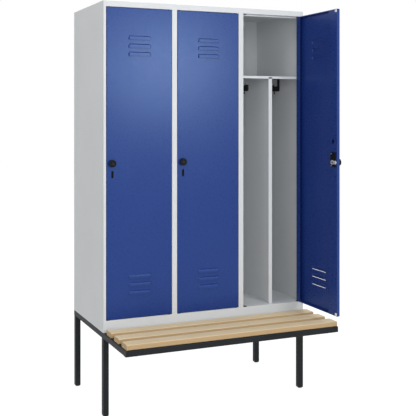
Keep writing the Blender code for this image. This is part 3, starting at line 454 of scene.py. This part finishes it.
for node in FLAT_NODES:
    frame["nodes"][node].data.materials.clear()
    frame["nodes"][node].data.materials.append(FINISHES[SLOT_OF[node]])
copies = [smooth_copy(node) for node in frame["nodes"] if node not in FLAT_NODES + SLATS]
print("plain solids:", len(FLAT_NODES), "smooth copies:", len(copies))

# %% [markdown]
# ## What repeats
#
# Boards, bushes, screws and bolts are the same small shape again and again, so Geometry Nodes make them.
# Each tree is built here, gets its sizes through named inputs, and ends by turning its instances into
# real faces and giving them their material. The result is then taken off as a plain mesh.

# %% Helpers for geometry trees
SOCKETS = {float: "NodeSocketFloat", int: "NodeSocketInt", tuple: "NodeSocketVector",
           bpy.types.Material: "NodeSocketMaterial"}


def geometry_tree(name, sizes):
    """A new geometry tree with one input for its points and one for each named size."""
    tree = bpy.data.node_groups.new(name, "GeometryNodeTree")
    tree.interface.new_socket("Geometry", in_out="OUTPUT", socket_type="NodeSocketGeometry")
    tree.interface.new_socket("Points", in_out="INPUT", socket_type="NodeSocketGeometry")
    for label, value in sizes.items():
        tree.interface.new_socket(label, in_out="INPUT", socket_type=SOCKETS[type(value)])
    return tree, add_node(tree, "NodeGroupInput").outputs


def end_tree(tree, instances, material):
    """Ends a tree: real faces in place of the instances, then their material."""
    real = add_node(tree, "GeometryNodeRealizeInstances", {0: instances})
    painted = add_node(tree, "GeometryNodeSetMaterial", {"Geometry": real.outputs[0], "Material": material})
    add_node(tree, "NodeGroupOutput", {0: painted.outputs[0]})


def plain_mesh(thing, name):
    """The evaluated object as a plain mesh. The object itself is removed."""
    bpy.context.view_layer.update()
    mesh = bpy.data.meshes.new_from_object(thing.evaluated_get(bpy.context.evaluated_depsgraph_get()))
    mesh.name = name
    bpy.data.objects.remove(thing)
    return mesh


def grown(name, tree, sizes, places, body):
    """Runs a tree on points at the given places, and makes the result a finished piece."""
    points = bpy.data.meshes.new(name)
    points.from_pydata(places, [], [])
    seed = bpy.data.objects.new(name + "_seed", points)
    bpy.context.scene.collection.objects.link(seed)
    made = seed.modifiers.new("grown", "NODES")
    made.node_group = tree
    sockets = {item.name: item.identifier for item in tree.interface.items_tree if item.in_out == "INPUT"}
    for label, value in sizes.items():
        made[sockets[label]] = value
    return link_piece(name, smooth_folds(plain_mesh(seed, name)), body)


print("sizes can be:", [kind.__name__ for kind in SOCKETS])

# %% [markdown]
# ## The bench slats
#
# On the real bench three planed boards lie on the side rails. Their long edges are rounded over, and the
# sander has eased their ends. The tree draws a board's cross-section as a rectangle with filleted corners
# and sweeps it along a line, which it shrinks a little towards both ends. Each board's number is stored on
# it, and the wood reads that number to find its own stretch of grain.

# %% Slats
LINE_POINTS = 6
# The share of half the line at which its points reach the board's full size.
FULL_SIZE_FROM = 0.2
ROUNDING_STEPS = 4


def slat_tree(sizes):
    """Boards along X, one on each point."""
    tree, given = geometry_tree("bench_slats", sizes)
    section = add_node(tree, "GeometryNodeCurvePrimitiveQuadrilateral",
                       {"Width": given["Width"], "Height": given["Thickness"]})
    section = add_node(tree, "GeometryNodeFilletCurve", {
        "Curve": section.outputs[0], "Count": ROUNDING_STEPS, "Radius": given["Rounding"]}, mode="POLY")
    line = add_node(tree, "GeometryNodeCurvePrimitiveLine", {"Start": (-0.5, 0, 0), "End": (0.5, 0, 0)})
    line = add_node(tree, "GeometryNodeResampleCurve", {"Curve": line.outputs[0], "Count": LINE_POINTS})
    # The six points stand at shares -1, -0.6, -0.2, 0.2, 0.6 and 1 of half the line. Three of them go to
    # each end, and a quarter turn of a circle between them eases it.
    factor = add_node(tree, "GeometryNodeSplineParameter").outputs["Factor"]
    side = add_node(tree, "ShaderNodeMath",
                    {0: factor, 1: 2.0, 2: -1.0}, operation="MULTIPLY_ADD").outputs[0]
    out = add_node(tree, "ShaderNodeMath", {0: side}, operation="ABSOLUTE").outputs[0]
    turn = add_node(tree, "ShaderNodeMapRange", {
        "Value": out, "From Min": 1.0, "From Max": FULL_SIZE_FROM, "To Max": math.pi / 2}).outputs[0]
    rise, back = (add_node(tree, "ShaderNodeMath", {0: turn}, operation=kind).outputs[0]
                  for kind in ("SINE", "COSINE"))
    inset = add_node(tree, "ShaderNodeMath", {0: 1.0, 1: back}, operation="SUBTRACT").outputs[0]
    inset = add_node(tree, "ShaderNodeMath", {0: inset, 1: given["Ease"]}, operation="MULTIPLY").outputs[0]
    half = add_node(tree, "ShaderNodeMath", {0: given["Length"], 1: 0.5}, operation="MULTIPLY").outputs[0]
    reach = add_node(tree, "ShaderNodeMath", {0: half, 1: inset}, operation="SUBTRACT").outputs[0]
    sign = add_node(tree, "ShaderNodeMath", {0: side}, operation="SIGN").outputs[0]
    x = add_node(tree, "ShaderNodeMath", {0: reach, 1: sign}, operation="MULTIPLY").outputs[0]
    place = add_node(tree, "ShaderNodeCombineXYZ", {"X": x}).outputs[0]
    line = add_node(tree, "GeometryNodeSetPosition", {"Geometry": line.outputs[0], "Position": place})
    shrink = add_node(tree, "ShaderNodeMath", {0: given["Ease"], 1: given["Thickness"]}, operation="DIVIDE")
    small = add_node(tree, "ShaderNodeMath", {0: 1.0, 1: shrink.outputs[0]}, operation="SUBTRACT")
    scale = add_node(tree, "ShaderNodeMapRange", {"Value": rise, "To Min": small.outputs[0], "To Max": 1.0})
    board = add_node(tree, "GeometryNodeCurveToMesh", {
        "Curve": line.outputs[0], "Profile Curve": section.outputs[0], "Scale": scale.outputs[0],
        "Fill Caps": True})
    boards = add_node(tree, "GeometryNodeInstanceOnPoints",
                      {"Points": given["Points"], "Instance": board.outputs[0]})
    number = add_node(tree, "GeometryNodeInputIndex").outputs[0]
    numbered = add_node(tree, "GeometryNodeStoreNamedAttribute",
                        {"Geometry": boards.outputs[0], "Name": "board", "Value": number},
                        data_type="FLOAT", domain="INSTANCE")
    end_tree(tree, numbered.outputs[0], given["Finish"])
    return tree


board_low, board_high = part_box(SLATS[0])
board_size = board_high - board_low
SLAT_SIZES = {"Length": board_size.x, "Width": board_size.y, "Thickness": board_size.z,
              "Rounding": 5.0 * MM, "Ease": 1.2 * MM, "Finish": BEECH}
slat_places = [(low + high) / 2 for low, high in map(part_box, SLATS)]
slats = grown("bench_slats", slat_tree(SLAT_SIZES), SLAT_SIZES, slat_places, "root")
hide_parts(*SLATS)
print("boards:", len(SLATS), "each, mm:", [round(v / MM, 1) for v in board_size])

# %% [markdown]
# ## Where a door's small parts go
#
# The doors hang on their hinge axes, and the third stands open. Its lock, slot and screws turn with it. So
# each place is given once, on a closed door, measured from its hinge axis, and one matrix per door carries
# it to where that door stands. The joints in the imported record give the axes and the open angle.

# %% Doors and their axes
JOINTS = {joint["name"]: joint for joint in frame["record"]["behaviour"]["joints"]}
DOORS = (1, 2, 3)
# A plate or head is made lying down, with its front upwards. These turns stand it up, facing the front or
# the back of a door, or turn it over.
FORWARD, BACKWARD, DOWNWARD = (math.pi / 2, 0.0, 0.0), (-math.pi / 2, 0.0, 0.0), (math.pi, 0.0, 0.0)


def door_turn(n):
    """How far door n stands open in the model."""
    return -math.radians(JOINTS[f"door_{n}_hinge"]["range_deg"][0])


def door_place(n):
    """The matrix from a closed door's own frame, about its hinge axis, to where door n stands."""
    x, y, _ = JOINTS[f"door_{n}_hinge"]["pos_m"]
    return Matrix.Translation((x, y, 0)) @ Matrix.Rotation(door_turn(n), 4, "Z")


hinge, lock = (Vector(JOINTS[name]["pos_m"]) for name in ("door_1_hinge", "lock_1_turn"))
LOCK_X, LOCK_Z = lock.x - hinge.x, lock.z
DOOR_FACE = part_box("front_frame")[0].y - hinge.y
CASE_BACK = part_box("lock_case_1")[1].y - hinge.y
print("doors stand open by, degrees:", [round(math.degrees(door_turn(n))) for n in DOORS])

# %% [markdown]
# ## The lower louvres' crown
#
# The press leaves the lower louvres' faces a little fuller at their cut edge than at the top. That is why
# they show a lighter band: their upper part leans back and mirrors the soft box, which hangs higher. The
# lean is less than 2 mm deep, so it is put into the normals and the faces stay flat.

# %% Crowned louvres
CROWN_LEAN = 0.21
# More than the height of a louvre's face, and less than the space between two of them.
LOUVRE_GAP = 20 * MM
FRONT_SLACK = 0.1 * MM


def crown_louvres(n):
    """Leans back the normals of the louvre faces under door n's lock, most at their upper edge."""
    mesh = bpy.data.objects[f"smooth_door_{n}"].data
    front = Matrix.Rotation(door_turn(n), 3, "Z") @ Vector((0, -1, 0))
    nearness = [vertex.co.dot(front) for vertex in mesh.vertices]
    raised = [face for face in mesh.polygons if face.center.z < LOCK_Z
              and min(nearness[k] for k in face.vertices) > max(nearness) - FRONT_SLACK]
    levels = sorted({mesh.vertices[k].co.z for face in raised for k in face.vertices})
    starts = [high for low, high in zip([0.0] + levels, levels) if high - low > LOUVRE_GAP]
    normals = [Vector(corner.vector) for corner in mesh.corner_normals]
    for face in raised:
        for corner in face.loop_indices:
            z = mesh.vertices[mesh.loops[corner].vertex_index].co.z
            start = max(level for level in starts if level <= z)
            top = max(level for level in levels if level < start + LOUVRE_GAP)
            lean = CROWN_LEAN * (z - start) / (top - start)
            normals[corner] = (front + Vector((0, 0, lean))).normalized()
    mesh.normals_split_custom_set(normals)
    return len(starts)


print("louvres crowned:", [crown_louvres(n) for n in DOORS])

# %% [markdown]
# ## Plates and heads
#
# Two small shapes come back all over the locker. One is a plate with rounded corners: a rubber bush in a
# hinge gap, or the clip in a shelf's edge. The other is a low head: a screw's is round and a bolt's has six
# sides. A plate is a filleted rectangle swept along a short upright line. A head is a ring of straight
# sides swept along a line, and it draws in steeply towards the top, as a pressed head does. Modelling each
# by hand would give the same shapes, but one tree makes a dozen from their places and sizes.

# %% Trees for plates and heads
CORNER_STEPS = 5
HEAD_STEPS = 5
HEAD_POWER = 6.0


def plate_tree(sizes):
    """Flat plates with rounded corners, one on each point, lying in the plane that Turn gives."""
    tree, given = geometry_tree("rounded_plates", sizes)
    outline = add_node(tree, "GeometryNodeCurvePrimitiveQuadrilateral",
                       {"Width": given["Width"], "Height": given["Height"]})
    outline = add_node(tree, "GeometryNodeFilletCurve", {
        "Curve": outline.outputs[0], "Count": CORNER_STEPS, "Radius": given["Corner"]}, mode="POLY")
    start, end = (
        add_node(tree, "ShaderNodeVectorMath", {0: (0, 0, share), "Scale": given["Thickness"]},
                 operation="SCALE").outputs[0] for share in (-0.5, 0.5))
    line = add_node(tree, "GeometryNodeCurvePrimitiveLine", {"Start": start, "End": end})
    plate = add_node(tree, "GeometryNodeCurveToMesh",
                     {"Curve": line.outputs[0], "Profile Curve": outline.outputs[0], "Fill Caps": True})
    plates = add_node(tree, "GeometryNodeInstanceOnPoints", {
        "Points": given["Points"], "Instance": plate.outputs[0], "Rotation": given["Turn"]})
    end_tree(tree, plates.outputs[0], given["Finish"])
    return tree


def head_tree(sizes):
    """Low heads of screws and bolts, one on each point, standing the way that Turn gives."""
    tree, given = geometry_tree("low_heads", sizes)
    ring = add_node(tree, "GeometryNodeCurvePrimitiveCircle",
                    {"Resolution": given["Sides"], "Radius": given["Radius"]}, mode="RADIUS")
    top = add_node(tree, "ShaderNodeCombineXYZ", {"Z": given["Rise"]})
    line = add_node(tree, "GeometryNodeCurvePrimitiveLine", {"Start": (0, 0, 0), "End": top.outputs[0]})
    line = add_node(tree, "GeometryNodeResampleCurve", {"Curve": line.outputs[0], "Count": HEAD_STEPS})
    up = add_node(tree, "GeometryNodeSplineParameter").outputs["Factor"]
    drawn = add_node(tree, "ShaderNodeMath", {0: up, 1: HEAD_POWER}, operation="POWER").outputs[0]
    drawn = add_node(tree, "ShaderNodeMath", {0: drawn, 1: given["Draw"]}, operation="MULTIPLY").outputs[0]
    width = add_node(tree, "ShaderNodeMath", {0: 1.0, 1: drawn}, operation="SUBTRACT").outputs[0]
    head = add_node(tree, "GeometryNodeCurveToMesh", {
        "Curve": line.outputs[0], "Profile Curve": ring.outputs[0], "Scale": width, "Fill Caps": True})
    heads = add_node(tree, "GeometryNodeInstanceOnPoints", {
        "Points": given["Points"], "Instance": head.outputs[0], "Rotation": given["Turn"]})
    end_tree(tree, heads.outputs[0], given["Finish"])
    return tree


PLATE_SIZES = {"Width": 20 * MM, "Height": 20 * MM, "Corner": 6.4 * MM, "Thickness": 1.9 * MM,
               "Turn": (0.0, 0.0, 0.0), "Finish": BLACK_RUBBER}
HEAD_SIZES = {"Radius": 2.8 * MM, "Rise": 1.2 * MM, "Sides": 20, "Draw": 0.45,
              "Turn": BACKWARD, "Finish": ZINC}
PLATES, HEADS = plate_tree(PLATE_SIZES), head_tree(HEAD_SIZES)
print("trees:", PLATES.name, "and", HEADS.name)

# %% [markdown]
# ## Hinge bushes and shelf clips
#
# Each doorway has four black rubber bushes in the 2 mm gap over and under the door: two round the hinge
# pins, and two at the lock's side that keep the door from dropping. In the picture they are the dark
# dashes in the corners of the open doorway. A black clip in the shelf's front edge holds the head of the
# partition.

# %% Bushes and clips
BUSH_FROM_MIDDLE, BUSH_FROM_FRONT = 172 * MM, 10.6 * MM
HALF_GAP = 1.0 * MM
CLIP_RISE, CLIP_PROUD = 6.6 * MM, 0.4 * MM
CLIP_SIZES = PLATE_SIZES | {"Width": 22 * MM, "Height": 3.2 * MM, "Corner": 1.0 * MM, "Thickness": 1.4 * MM,
                            "Turn": FORWARD}

middles = [sum(corner.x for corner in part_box(f"partition_{n}")) / 2 for n in DOORS]
bush_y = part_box("front_frame")[0].y + BUSH_FROM_FRONT
door_low, door_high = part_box("door_1")
gaps = [door_low.z - HALF_GAP, door_high.z + HALF_GAP]
bush_places = [(middle + side * BUSH_FROM_MIDDLE, bush_y, level)
               for middle in middles for side in (-1, 1) for level in gaps]
grown("hinge_bushes", PLATES, PLATE_SIZES, bush_places, "root")
shelf_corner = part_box("hat_shelf_1")[0]
clip_places = [(middle, shelf_corner.y - CLIP_PROUD, shelf_corner.z + CLIP_RISE) for middle in middles]
grown("shelf_clips", PLATES, CLIP_SIZES, clip_places, "root")
print("clips:", len(clip_places), "bushes:", len(bush_places),
      "in gaps at, mm:", [round(level / MM, 1) for level in gaps])

# %% [markdown]
# ## Screws and bolts
#
# Each lock case is held by two round-headed screws, clear of the cam's sweep. The slats are bolted from
# below through the steel rails, with the hexagon heads under the rail: the first slat to the rail along the
# bench's front, the other two to the side rails.

# %% Screws and bolts
# How far right of the lock's axis and above it the screws sit.
CASE_SCREWS = ((14 * MM, 45 * MM), (14 * MM, -18.5 * MM))
FRONT_BOLTS_X = (-0.54, 0.0, 0.54)
BOLT_SIZES = HEAD_SIZES | {"Radius": 5.8 * MM, "Rise": 4.0 * MM, "Sides": 6, "Draw": 0.18, "Turn": DOWNWARD}


def crossing(first, second, level):
    """The middle of where two nodes cross, seen from above, at a given height."""
    lows, highs = zip(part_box(first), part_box(second))
    x, y = ((max(low[k] for low in lows) + min(high[k] for high in highs)) / 2 for k in (0, 1))
    return x, y, level


for n in DOORS:
    places = [door_place(n) @ Vector((LOCK_X + right, CASE_BACK, LOCK_Z + up)) for right, up in CASE_SCREWS]
    turned = HEAD_SIZES | {"Turn": (BACKWARD[0], 0.0, door_turn(n))}
    grown(f"case_screws_{n}", HEADS, turned, places, f"door_{n}")
rail_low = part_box("rail_bench")[0].z
bolts = [crossing(slat, side, rail_low) for slat in SLATS[1:]
         for side in ("side_frame_left", "side_frame_right")]
bolts += [(x, crossing(SLATS[0], "rail_bench", rail_low)[1], rail_low) for x in FRONT_BOLTS_X]
grown("slat_bolts", HEADS, BOLT_SIZES, bolts, "root")
print("screws:", len(CASE_SCREWS) * len(DOORS), "bolts:", len(bolts))

# %% [markdown]
# ## Lock cores and slot liners
#
# In each knob's dish sits the end of the lock's core: a dark ring round the keyhole. The slot under the
# knob has a black liner, a small moulded cup with a thin rim in front of the door and a floor that closes
# the slot. Both are lofted: the same outline is drawn again and again at another size and depth, and each
# loop is joined to the last. Lathing would do for a round piece, but the loft also takes the slot's shape.

# %% Helpers for lofted pieces
END_STEPS = 8


def stadium(half_width, half_height):
    """A closed outline with a round end above and below. It is a circle if both sizes are equal."""
    rise = half_height - half_width
    points = []
    for k in range(2 * END_STEPS):
        angle = math.pi * (k + 0.5) / END_STEPS
        level = math.copysign(rise, math.sin(angle)) + half_width * math.sin(angle)
        points.append((half_width * math.cos(angle), level))
    return points


def lofted(name, sizes, matrix, body, material, ring=False):
    """Joins stadiums to one closed body, capped at both ends or closed into a ring.

    Each size is a half width, a half height and a depth behind the matrix's origin, in mm.
    """
    bm = bmesh.new()
    loops = [[bm.verts.new(matrix @ (Vector((x, depth, z)) * MM)) for x, z in stadium(wide, high)]
             for wide, high, depth in sizes]
    for first, second in zip(loops, loops[1:] + (loops[:1] if ring else [])):
        for k in range(len(first)):
            bm.faces.new((first[k - 1], first[k], second[k], second[k - 1]))
    if not ring:
        bm.faces.new(loops[0])
        bm.faces.new(loops[-1])
    bmesh.ops.recalc_face_normals(bm, faces=bm.faces)
    mesh = bpy.data.meshes.new(name)
    bm.to_mesh(mesh)
    bm.free()
    mesh.materials.append(material)
    return link_piece(name, smooth_folds(mesh), body)


print("points in a loop:", len(stadium(1, 1)))

# %% Liners and cores
SLOT_HALF_WIDTH, SLOT_HALF_HEIGHT = 5.0, 18.0
SLOT_X, SLOT_Z = LOCK_X + 3.0 * MM, LOCK_Z - 58.0 * MM
# The liner's loops, from its inner floor out over the rim to its back: how much wider than the slot, and
# how far behind the door's face.
LINER_LOOPS = ((-1.6, 4.0), (-1.6, -0.3), (-1.1, -0.8), (0.7, -0.8), (1.4, -0.1), (-0.3, -0.1), (-0.3, 5.0))
LINER_SIZES = [(SLOT_HALF_WIDTH + grow, SLOT_HALF_HEIGHT + grow, depth) for grow, depth in LINER_LOOPS]
# The core's loops: up the keyhole's wall, over its eased edge, and down the outer rim.
CORE_SIZES = ((1.9, 4.6, 0), (1.9, 4.6, -0.9), (2.3, 5.0, -1.2),
              (6.5, 6.5, -1.2), (7.0, 7.0, -0.7), (7.0, 7.0, 0))
DISH_DEPTH = 1.6 * MM
DISH_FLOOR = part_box("knob_1")[0].y - hinge.y + DISH_DEPTH

for n in DOORS:
    at_slot = door_place(n) @ Matrix.Translation((SLOT_X, DOOR_FACE, SLOT_Z))
    lofted(f"slot_liner_{n}", LINER_SIZES, at_slot, f"door_{n}", BLACK_ABS)
    at_lock = door_place(n) @ Matrix.Translation((LOCK_X, DISH_FLOOR, LOCK_Z))
    lofted(f"lock_core_{n}", CORE_SIZES, at_lock, f"lock_{n}", LOCK_STEEL, ring=True)
print("liners and cores:", 2 * len(DOORS),
      "each slot, mm:", SLOT_HALF_WIDTH * 2, "by", SLOT_HALF_HEIGHT * 2)
